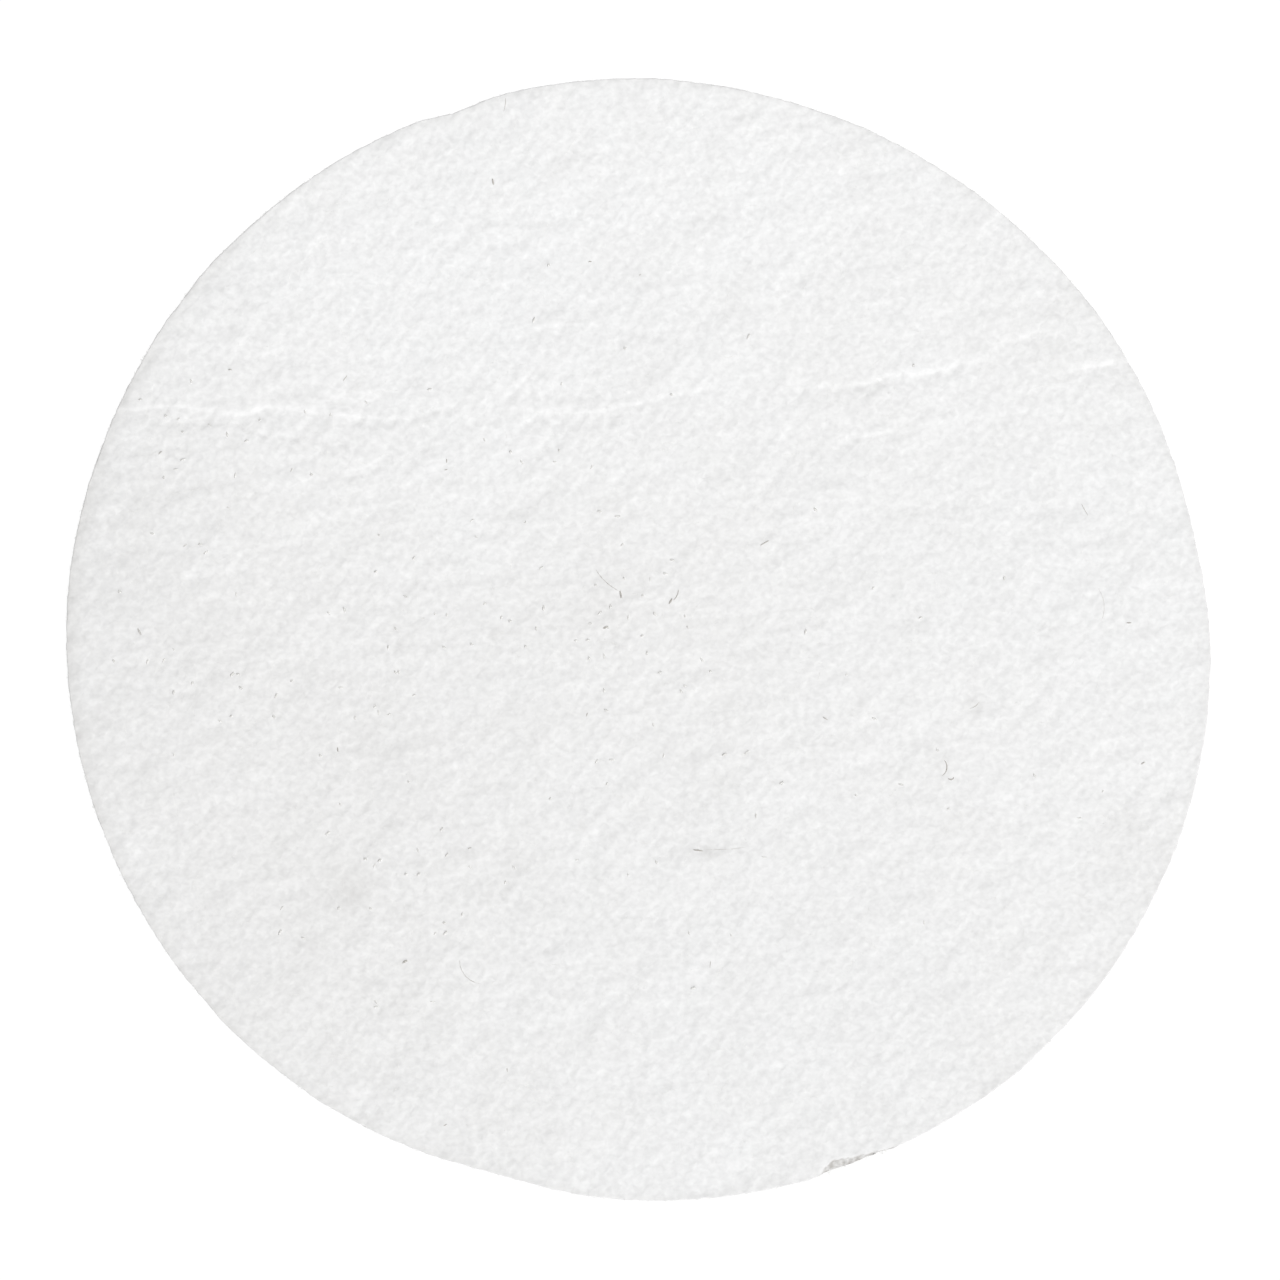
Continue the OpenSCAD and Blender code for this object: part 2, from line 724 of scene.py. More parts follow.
@dataclass(frozen=True)
class Nick:
    """A sliver torn out of the rim's upper edge, widest near its start."""

    start_deg: float = 288.6
    end_deg: float = 297.6
    # How far in from the rim it goes, and how deep, in millimetres.
    reach: float = 2.1
    depth: float = 2.1
    # The share of its length over which it opens, and how it narrows after that.
    opening: float = 0.2
    narrowing: float = 1.1
    # Where it is narrower than this, in millimetres, it is shallower too.
    narrow: float = 0.5
    # How its floor rises from the rim inwards.
    floor_power: float = 0.8
    # How uneven the torn floor and its painted shade are.
    torn: Waves = Waves(0.5, 1.7, 1.0, seed=41, count=60)
    torn_floor: float = 0.12
    torn_shade: float = 0.3
    # Painted shade on the torn wool, from 0 to 1, and how much paler it is at its deepest.
    soil_and_shade: float = 0.52
    paler_deep: float = 0.3
    # The painted shade is full where this much is gone, and fades this far down the cut side, in
    # millimetres.
    shade_depth: float = 0.2
    shade_fade: float = 0.3

    def loss(self, x: np.ndarray, y: np.ndarray, inset: np.ndarray) -> np.ndarray:
        """Return how much felt is gone at each point, in mm.

        Args:
            x: Distance along +X, in millimetres.
            y: Distance along +Y, in millimetres.
            inset: How far inside the outline each point lies, in millimetres.

        Returns:
            The missing height.
        """
        angle = np.degrees(np.arctan2(y, x)) % 360
        share = (angle - self.start_deg) / (self.end_deg - self.start_deg)
        inside = np.clip(share, 0, 1)
        reach = self.reach * np.minimum(1, inside / self.opening) * (1 - inside) ** self.narrowing
        reach = np.maximum(reach, 1e-3)
        slope = np.clip((reach - inset) / reach, 0, 1) ** self.floor_power
        depth = self.depth * np.minimum(1, reach / self.narrow)
        depth *= 1 + self.torn_floor * self.torn.height(x, y)
        return np.where((share > 0) & (share < 1), depth * slope, 0)

    def painted_shade(self, points: np.ndarray, inset: np.ndarray, top: float) -> np.ndarray:
        """Return the painted shade on the torn wool at each point, from 0 to 1.

        Args:
            points: The points, one a row, in millimetres.
            inset: How far inside the outline each point lies, in millimetres.
            top: Height of the felt's face, in millimetres.

        Returns:
            The painted shade, which thins out towards the rim and down the cut side.
        """
        x, y, z = points.T
        loss = self.loss(x, y, inset)
        below = np.maximum(top - loss - z, 0)
        uneven = np.clip(1 + self.torn_shade * self.torn.height(x + z, y - z), 0, 1.5)
        torn = (1 - np.exp(-loss / self.shade_depth)) * (1 - self.paler_deep * loss / self.depth)
        return self.soil_and_shade * torn * uneven * np.exp(-((below / self.shade_fade) ** 2))


@dataclass
class FeltPad:
    """The felt itself: one face, a soft shoulder, a cut side and a flat underside."""

    outline: CutOutline
    bottom: float
    top: float
    # Cells each way of the grid that the face is made of, so that they are half a millimetre wide,
    # and how far inside the outline the grid ends, in millimetres.
    grid: int = 268
    face_inset: float = 1.15
    # Rings from the edge of the face to the bottom: inset from the outline, and drop as a share
    # of the thickness.
    rings: tuple[tuple[float, float], ...] = (
        (0.80, 0.0),
        (0.50, 0.0),
        (0.30, 0.001),
        (0.16, 0.004),
        (0.07, 0.013),
        (0.02, 0.045),
        (0.0, 0.14),
        (0.0, 0.4),
        (0.0, 0.65),
        (0.01, 0.85),
        (0.04, 1.0),
    )
    # The main crease, in three runs, and the short ones near it.
    wrinkles: tuple[Wrinkle, ...] = (
        Wrinkle(
            (
                (-75, 30.4), (-69, 30.9), (-62, 31.4), (-56, 30.5), (-52.2, 30.4), (-50.6, 31.2),
                (-46.8, 31.0), (-42, 30.4), (-32, 29.8), (-27.5, 30.9), (-22, 31.4),
            ),
            0.22,
        ),
        Wrinkle(
            (
                (-18.5, 27.8), (-15, 29.4), (-13, 30.6), (-10, 30.6), (-4.6, 30.8), (-2.6, 31.3),
                (0.4, 31.9), (4.8, 32.8), (10.8, 34.1),
            ),
            0.18,
        ),
        Wrinkle(
            (
                (20, 33.6), (23, 34.0), (28, 34.1), (31.6, 34.8), (33.9, 35.6), (37.2, 35.7),
                (40.3, 36.2), (44.3, 37.3), (49, 37.6),
            ),
            0.18,
        ),
        Wrinkle(
            ((-68, 29.6), (-57.5, 29.1), (-54.6, 29.4), (-49.9, 27.5), (-42.1, 26.7), (-37, 25.7)),
            0.13,
            False,
        ),
        Wrinkle(((47.5, 39.8), (51, 40.6), (54, 41.6)), 0.13),
        Wrinkle(((56, 35.9), (61, 36.8), (67, 37.7)), 0.14),
        Wrinkle(((-20.5, 31.2), (-17, 33.4), (-13.5, 37.0)), 0.1),
        Wrinkle(((-41, 22.4), (-37, 23.2), (-33, 25.4)), 0.13),
        Wrinkle(((27, 26.9), (31, 27.5), (36.5, 28.6)), 0.13),
        Wrinkle(((16, 25.6), (20, 27.6), (24, 28.6)), 0.1, False),
    )
    # The face gets closer points where a crease is deeper than this share, and round the nick.
    crease_share: float = 0.25
    nick_margin: float = 0.6
    nick: Nick = Nick()
    needled: NeedleMarks = NeedleMarks()
    # The face falls a little towards the left edge, and less towards the lower one.
    left_droop: Droop = Droop(0.35, -79.0, 13.0)
    low_droop: Droop = Droop(0.12, -78.0, 9.0)
    # A thumb's dent under the darkest smudge.
    dent: Spot = Spot(-38.8, -33.3, 2.2, 0.12)
    # Painted shade greys the rim a little, as far in as this in millimetres, and more and further where the
    # cut leans in.
    rim_shade: float = 0.062
    rim_shade_more: float = 1.1
    rim_shade_reach: float = 0.9
    rim_shade_reach_more: float = 0.7
    # Dust lies on the whole face, a little unevenly.
    dust: float = 0.038
    clouds: Waves = Waves(5, 36, 0.009, seed=17, count=140)
    # The shears leaned: the cut runs in from bottom to top by this much, in millimetres, and by
    # this much more on one side, which spans about twice lean_spread degrees.
    lean: float = 0.03
    lean_more: float = 0.05
    lean_deg: float = 168.0
    lean_spread: float = 42.0
    # Tufts and snips of the cut side, drawn along an arc of about the disc's radius. The side
    # starts side_width inside the outline, and is pulled in a little and pushed in or out.
    tufts: Waves = Waves(0.9, 3.2, 0.035, seed=21, count=120)
    tuft_stretch: float = 1.4
    snips: Waves = Waves(5, 14, 0.03, seed=22, count=30)
    arc_radius: float = 76.0
    side_width: float = 0.5
    side_pull: float = 0.03
    side_push: tuple[float, float] = (-0.16, 0.1)
    # Height shares above this one belong to the face.
    face_share: float = 0.999
    # Long unevenness from drying, soft hills, matted lumps, and the grain between them.
    waves: tuple[Waves, ...] = (
        Waves(34, 95, 0.06, seed=3),
        Waves(6, 15, 0.032, seed=5, lay=(4, 40), spread=50),
        Waves(2.9, 5.8, 0.034, seed=7, lay=(2, 45), spread=30, count=170),
        Waves(1.4, 2.6, 0.012, seed=11, count=150),
    )
    # Small dirty patches, then large soft patches that darken the face, or lighten it where the strength is
    # below zero.
    smudges_and_patches: tuple[Spot, ...] = (
        Spot(-38.8, -33.3, 2.6, 0.11),
        Spot(45.0, -8.5, 1.3, 0.12),
        Spot(-19.3, 0.9, 0.8, 0.12),
        Spot(-7.7, -24.6, 0.7, 0.14),
        Spot(20.2, -38.0, 1.5, 0.07),
        Spot(9.3, -28.2, 1.0, 0.14),
        Spot(-4.0, 4.0, 3.4, 0.04),
        Spot(-36.0, -14.0, 3.0, 0.035),
        Spot(-32, 45, 28, -0.04),
        Spot(10, 62, 24, -0.025),
        Spot(-72, 4, 24, 0.035),
        Spot(-35, -16, 20, 0.025),
        Spot(0, 0, 20, 0.02),
        Spot(-48, -42, 18, 0.025),
        Spot(10, -72, 20, -0.02),
        Spot(68, -28, 9, 0.025),
    )
    # Warmer patches of wool, and cooler ones where the strength is below zero.
    warm_spots: tuple[Spot, ...] = (
        Spot(-48, -18, 26, 0.9),
        Spot(-40, -45, 20, 0.8),
        Spot(0, 2, 16, 0.7),
        Spot(-48, 14, 16, 0.6),
        Spot(44, -8.5, 6, 0.8),
        Spot(-18, 52, 30, -0.8),
        Spot(62, 10, 26, -0.9),
        Spot(18, -55, 30, -0.7),
        Spot(36, 58, 22, -0.5),
    )
    piece: bpy.types.Object | None = field(default=None, init=False)

    def build(self) -> bpy.types.Object:
        """Build the pad from a grid, ring by ring, and then work its surface.

        Returns:
            The finished piece.
        """
        deselect_all()
        bpy.ops.mesh.primitive_grid_add(
            x_subdivisions=self.grid, y_subdivisions=self.grid, size=2, location=(0, 0, 0)
        )
        self.piece = bpy.context.object
        self.piece.name = "felt_disc"
        self.piece.data.name = "felt_disc"
        self._round_off_grid()
        self._refine_creases()
        for inset, drop in self.rings:
            self._extrude_ring(inset, drop)
        self._close_underside()
        self._work_surface()
        self._mark_colours()
        deselect_all()
        self.piece.select_set(True)
        bpy.context.view_layer.objects.active = self.piece
        bpy.ops.object.shade_smooth_by_angle(angle=math.radians(80))
        return self.piece

    def _round_off_grid(self) -> None:
        """Bend the square grid into the disc's face, so that every cell keeps about its area."""
        points = points_of(self.piece.data)
        u, v = points[:, 0], points[:, 1]
        wide = np.abs(u) >= np.abs(v)
        reach = np.where(wide, u, v)
        other = np.where(wide, v, u)
        lean = np.divide(other, reach, out=np.zeros(len(u)), where=np.abs(reach) > 1e-9)
        turn = lean * math.pi / 4
        angle = np.where(wide, turn, math.pi / 2 - turn)
        x, y = reach * np.cos(angle), reach * np.sin(angle)
        radius = self.outline.radius(np.arctan2(y, x)) - self.face_inset
        top = np.full(len(x), self.top)
        set_points(self.piece.data, np.stack([x * radius, y * radius, top], 1) * MM)

    def _refine_creases(self) -> None:
        """Subdivide the face where the creases and the nick need closer points."""
        mesh = self.piece.data
        centres = np.zeros(len(mesh.polygons) * 3)
        mesh.polygons.foreach_get("center", centres)
        x, y = centres.reshape(-1, 3)[:, 0] / MM, centres.reshape(-1, 3)[:, 1] / MM
        wanted = np.zeros(len(x), bool)
        for wrinkle in self.wrinkles:
            wanted |= wrinkle.relief(x, y) < -self.crease_share * wrinkle.depth
        inset = self.outline.inset_of(x, y)
        wanted |= self.nick.loss(x, y, inset - self.nick_margin) > 0
        deselect_all()
        bpy.context.view_layer.objects.active = self.piece
        bpy.ops.object.mode_set(mode="EDIT")
        bpy.ops.mesh.select_mode(type="FACE")
        bpy.ops.mesh.select_all(action="DESELECT")
        bpy.ops.object.mode_set(mode="OBJECT")
        mesh.polygons.foreach_set("select", wanted)
        bpy.ops.object.mode_set(mode="EDIT")
        bpy.ops.mesh.subdivide(number_cuts=2, ngon=False)
        bpy.ops.mesh.select_mode(type="EDGE")
        bpy.ops.mesh.select_all(action="DESELECT")
        bpy.ops.mesh.select_non_manifold(
            extend=False, use_wire=False, use_multi_face=False, use_non_contiguous=False, use_verts=False
        )
        bpy.ops.object.mode_set(mode="OBJECT")

    def _extrude_ring(self, inset: float, drop: float) -> None:
        """Extrude the open edge once and put its points on the next ring.

        Args:
            inset: The ring's distance inside the outline, in millimetres.
            drop: How far down the side the ring is, as a share of the thickness.
        """
        bpy.ops.object.mode_set(mode="EDIT")
        bpy.ops.mesh.extrude_region_move()
        bpy.ops.object.mode_set(mode="OBJECT")
        mesh = self.piece.data
        picked = np.zeros(len(mesh.vertices), bool)
        mesh.vertices.foreach_get("select", picked)
        points = points_of(mesh)
        angle = np.arctan2(points[picked, 1], points[picked, 0])
        lean = self.lean + self.lean_more * self._leaning_side(angle)
        radius = self.outline.radius(angle) - inset - lean * (1 - drop)
        points[picked, 0] = radius * np.cos(angle) * MM
        points[picked, 1] = radius * np.sin(angle) * MM
        points[picked, 2] = (self.top - drop * (self.top - self.bottom)) * MM
        set_points(mesh, points)

    def _leaning_side(self, angle: np.ndarray) -> np.ndarray:
        """Return how near each direction is to the side that leans most, from 0 to 1."""
        away = (np.degrees(angle) - self.lean_deg + 180) % 360 - 180
        return np.exp(-((away / self.lean_spread) ** 2))

    def _close_underside(self) -> None:
        """Run the last ring in to the centre and turn all faces outwards."""
        bpy.ops.object.mode_set(mode="EDIT")
        bpy.ops.mesh.extrude_region_move()
        bpy.ops.mesh.merge(type="CENTER")
        bpy.ops.mesh.select_all(action="SELECT")
        bpy.ops.mesh.normals_make_consistent(inside=False)
        bpy.ops.object.mode_set(mode="OBJECT")

    def relief(self, x: np.ndarray, y: np.ndarray) -> np.ndarray:
        """Return how far the felt's face stands above its nominal height, in mm.

        Args:
            x: Distance along +X, in millimetres.
            y: Distance along +Y, in millimetres.

        Returns:
            The height, without the nick.
        """
        height = sum(wave.height(x, y) for wave in self.waves) + self.needled.relief(x, y)
        height += sum(wrinkle.relief(x, y) for wrinkle in self.wrinkles)
        height -= self.left_droop.fall(x) + self.low_droop.fall(y)
        return height - self.dent.share(x, y)

    def _work_surface(self) -> None:
        """Raise and lower the face, cut the nick, and roughen the side."""
        points = points_of(self.piece.data) / MM
        x, y, z = points.T
        share = (z - self.bottom) / (self.top - self.bottom)
        inset = self.outline.inset_of(x, y)
        thickness = self.top - self.bottom + self.relief(x, y)
        thickness = thickness - self.nick.loss(x, y, inset)
        new_z = self.bottom + share * thickness
        side = np.clip(1 - inset / self.side_width, 0, 1) * (share < self.face_share)
        angle = np.arctan2(y, x)
        arc = angle * self.arc_radius
        ragged = self.tufts.height(arc, z * self.tuft_stretch)
        ragged = ragged + self.snips.height(arc, np.zeros(len(arc)))
        push = side * np.clip(ragged - self.side_pull, *self.side_push)
        points[:, 0] = x + push * np.cos(angle)
        points[:, 1] = y + push * np.sin(angle)
        points[:, 2] = np.maximum(new_z, self.bottom)
        set_points(self.piece.data, points * MM)

    def _mark_colours(self) -> None:
        """Write the felt's warmth, its soil and painted shade, and its painted crease highlight at each
        point.
        """
        points = points_of(self.piece.data) / MM
        x, y = points[:, 0], points[:, 1]
        inset = self.outline.inset_of(x, y)
        for name, spots in (("warmth", self.warm_spots), ("soil_and_shade", self.smudges_and_patches)):
            layer = self.piece.data.attributes.new(name, "FLOAT", "POINT")
            total = sum(spot.share(x, y) for spot in spots)
            if name == "soil_and_shade":
                total = total + self.dust + self.clouds.height(x, y)
                # Painted shade along the rim, more on the leaning side, and in the nick.
                lean_share = self._leaning_side(np.arctan2(y, x))
                reach = self.rim_shade_reach + self.rim_shade_reach_more * lean_share
                edge = np.exp(-((np.maximum(inset, 0) / reach) ** 2))
                total = total + self.rim_shade * edge * (1 + self.rim_shade_more * lean_share)
                total = total + self.nick.painted_shade(points, inset, self.top)
            layer.data.foreach_set("value", total.astype(np.float32))
        # Painted highlight, only on creases whose steep wall faces the light.
        highlights = [wrinkle.painted_highlight(x, y) for wrinkle in self.wrinkles if wrinkle.steep_left]
        layer = self.piece.data.attributes.new("crease_highlight", "FLOAT", "POINT")
        layer.data.foreach_set("value", sum(highlights).astype(np.float32))

    def dress(self, finish: WoolFelt, extras: list[bpy.types.Object]) -> None:
        """Args:
            finish: The felt's finish.
            extras: The separate pieces that are part of this felt; not used.
        """
        self.piece.data.materials.clear()
        self.piece.data.materials.append(finish.material())
        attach(self.piece, Body.DISC.value)
        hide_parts("felt_pad")
        self.outline.area_m2()


# ---------------------------------------------------------------- fibres


@dataclass
class Strands:
    """Thin round fibres that are drawn as lines and then given their thickness."""

    name: str
    lines: list[np.ndarray] = field(default_factory=list)
    radii: list[np.ndarray] = field(default_factory=list)

    def add(self, line: np.ndarray, radii: np.ndarray) -> None:
        """Add one fibre, in mm: its points, and its radius at each of them."""
        self.lines.append(line)
        self.radii.append(radii)

    def build(self) -> bpy.types.Object:
        """Give every line its thickness and make one mesh of them.

        Returns:
            The finished piece, not yet dressed.
        """
        deselect_all()
        bpy.ops.object.add(type="CURVE", location=(0, 0, 0))
        piece = bpy.context.object
        piece.name = self.name
        curve = piece.data
        curve.dimensions = "3D"
        curve.bevel_mode = "ROUND"
        curve.bevel_depth = MM
        curve.bevel_resolution = 0
        curve.use_fill_caps = True
        for line, radii in zip(self.lines, self.radii):
            spline = curve.splines.new("POLY")
            spline.points.add(len(line) - 1)
            rows = np.hstack([line * MM, np.ones((len(line), 1))])
            spline.points.foreach_set("co", rows.ravel())
            spline.points.foreach_set("radius", radii)
        piece.select_set(True)
        bpy.context.view_layer.objects.active = piece
        bpy.ops.object.convert(target="MESH")
        piece = bpy.context.object
        piece.name = self.name
        piece.data.name = self.name
        # The ends come as loose caps; join them to their tubes.
        bpy.ops.object.mode_set(mode="EDIT")
        bpy.ops.mesh.select_all(action="SELECT")
        bpy.ops.mesh.remove_doubles(threshold=JOIN_GAP)
        bpy.ops.object.mode_set(mode="OBJECT")
        bpy.ops.object.shade_smooth()
        return piece

    @staticmethod
    def dress(piece: bpy.types.Object, material: bpy.types.Material) -> None:
        """Give a piece of fibres its finish, and let it ride with the felt.

        Args:
            piece: The piece.
            material: Its finish.
        """
        piece.data.materials.clear()
        piece.data.materials.append(material)
        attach(piece, Body.DISC.value)


@dataclass
class LooseHairs:
    """Hairs that lie on the face, where the felt sheds them. Sizes are in millimetres."""

    felt: FeltPad
    count: int = 1300
    radius: float = 0.012
    points: int = 7
    # They start within this distance of the centre, and stay this far inside the outline.
    spread: float = 73.6
    clear_of_edge: float = 1.0
    # The two directions of the felt's lay, and how far the hairs stray from them, in degrees.
    lays_deg: tuple[int, int] = (6, 48)
    stray_deg: float = 32
    shortest: float = 1.5
    longest: float = 5.0
    # How much a hair turns at each point, in radians, and how high its arch may be.
    curl: float = 0.3
    arch: float = 0.015
    # Thickness of the root and the tip, as a share of the rest.
    ends: tuple[float, float] = (0.5, 0.4)
    seed: int = 31

    def build(self) -> bpy.types.Object:
        """Lay the hairs on the face.

        Returns:
            The finished piece, not yet dressed.
        """
        rng = np.random.default_rng(self.seed)
        strands = Strands("face_hairs")
        middle = self.points // 2
        for _ in range(self.count):
            turn = rng.random() * 2 * math.pi
            distance = self.spread * math.sqrt(rng.random())
            lay = self.lays_deg[int(rng.random() < 0.5)]
            heading = math.radians(lay + rng.normal() * self.stray_deg)
            length = self.shortest + (self.longest - self.shortest) * rng.random()
            bend = rng.normal() * self.curl
            step = length / (self.points - 1)
            angles = heading + bend * (np.arange(self.points - 1) - middle)
            line = np.zeros((self.points, 3))
            line[1:, 0] = np.cumsum(np.cos(angles)) * step
            line[1:, 1] = np.cumsum(np.sin(angles)) * step
            line[:, 0] += distance * math.cos(turn) - line[middle, 0]
            line[:, 1] += distance * math.sin(turn) - line[middle, 1]
            if self.felt.outline.inset_of(line[:, 0], line[:, 1]).min() < self.clear_of_edge:
                continue
            arch = np.sin(np.linspace(0, math.pi, self.points)) * rng.random() * self.arch
            line[:, 2] = arch - self.radius / 2
            taper = np.ones(self.points)
            taper[[0, -1]] = self.ends
            strands.add(line, self.radius * taper)
        stacked = np.vstack(strands.lines)
        stacked[:, 2] += self.felt.top + self.felt.relief(stacked[:, 0], stacked[:, 1])
        strands.lines = np.split(stacked, len(strands.lines))
        return strands.build()


@dataclass
class RimFuzz:
    """Short cut fibres that stand out of the rim. Sizes are in millimetres."""

    felt: FeltPad
    count: int = 2200
    # Radii at the root, the middle and the tip.
    radii: tuple[float, float, float] = (0.022, 0.018, 0.008)
    # Levels of the roots on the cut side, as shares of its height.
    lowest: float = 0.06
    highest: float = 0.94
    # How far the fibres stand out, and how far in their roots are, near the shoulder more.
    least_out: float = 0.05
    more_out: float = 0.24
    rooted: float = 0.2
    shoulder: float = 0.75
    shoulder_in: float = 0.35
    # How much they swing sideways and up or down, over their length and a little more.
    swing: float = 0.45
    lift: float = 0.15
    swing_more: float = 0.15
    # Where their middles are, along and across, as shares of their length.
    middle_out: float = 0.55
    middle_across: float = 0.3
    # How close they come to the back, and how far above the face.
    above_back: float = 0.03
    over_face: float = 0.05
    seed: int = 37

    def build(self) -> bpy.types.Object:
        """Set the fibres round the rim.

        Returns:
            The finished piece, not yet dressed.
        """
        rng = np.random.default_rng(self.seed)
        strands = Strands("rim_fuzz")
        height = self.felt.top - self.felt.bottom
        up = np.array([0, 0, 1])
        floor, ceiling = self.felt.bottom + self.above_back, self.felt.top + self.over_face
        for _ in range(self.count):
            turn = rng.random() * 2 * math.pi
            level = self.lowest + (self.highest - self.lowest) * rng.random()
            out = self.least_out + self.more_out * rng.random() ** 2
            side = rng.normal() * self.swing
            lift = rng.normal() * self.lift
            inset = self.rooted + self.shoulder_in * max(0, level - self.shoulder)
            start = float(self.felt.outline.radius(np.array([turn]))[0]) - inset
            radial = np.array([math.cos(turn), math.sin(turn), 0])
            across = np.array([-math.sin(turn), math.cos(turn), 0])
            root = radial * start + up * (self.felt.bottom + level * height)
            reach = np.array([0, self.rooted + self.middle_out * out, self.rooted + out])
            swing = np.array([0, self.middle_across, 1]) * (out + self.swing_more)
            line = root + reach[:, None] * radial + swing[:, None] * (across * side + up * lift)
            line[:, 2] = np.clip(line[:, 2], floor, ceiling)
            strands.add(line, np.array(self.radii))
        return strands.build()


@dataclass(frozen=True)
class Fleck:
    """One bit of plant fibre, in millimetres and degrees, and how far wool covers it."""

    x: float
    y: float
    length: float
    heading: float = 0.0
    thickness: float = 0.2
    bend: float = 0.0
    covered: float = 0.5

    def line(self, points: int) -> np.ndarray:
        """Draw the fleck's own line, at height 0.

        Args:
            points: How many points the line has.

        Returns:
            The points, one a row, in millimetres.
        """
        angles = math.radians(self.heading) + math.radians(self.bend) * np.linspace(-1, 1, points - 1)
        line = np.zeros((points, 3))
        line[1:, 0] = np.cumsum(np.cos(angles)) * self.length / (points - 1)
        line[1:, 1] = np.cumsum(np.sin(angles)) * self.length / (points - 1)
        return line - line.mean(0) + np.array([self.x, self.y, 0])


@dataclass(frozen=True)
class Sprinkle:
    """A loose patch of specks: its middle and spread in millimetres, and how many it has."""

    x: float
    y: float
    spread: float
    count: int
    # The least of each, and how much more it may be.
    length: tuple[float, float] = (0.35, 0.4)
    thickness: tuple[float, float] = (0.2, 0.16)
    covered: tuple[float, float] = (0.85, 0.09)

    def flecks(self, rng: np.random.Generator) -> list[Fleck]:
        """Scatter the specks.

        Args:
            rng: Where the chance comes from.

        Returns:
            One short, thin, mostly covered fleck for each speck.
        """
        specks = []
        for _ in range(self.count):
            dx, dy = rng.normal(size=2) * self.spread
            length = self.length[0] + self.length[1] * rng.random()
            heading = rng.random() * 180
            thickness = self.thickness[0] + self.thickness[1] * rng.random()
            covered = self.covered[0] + self.covered[1] * rng.random()
            specks.append(Fleck(self.x + dx, self.y + dy, length, heading, thickness, 0, covered))
        return specks


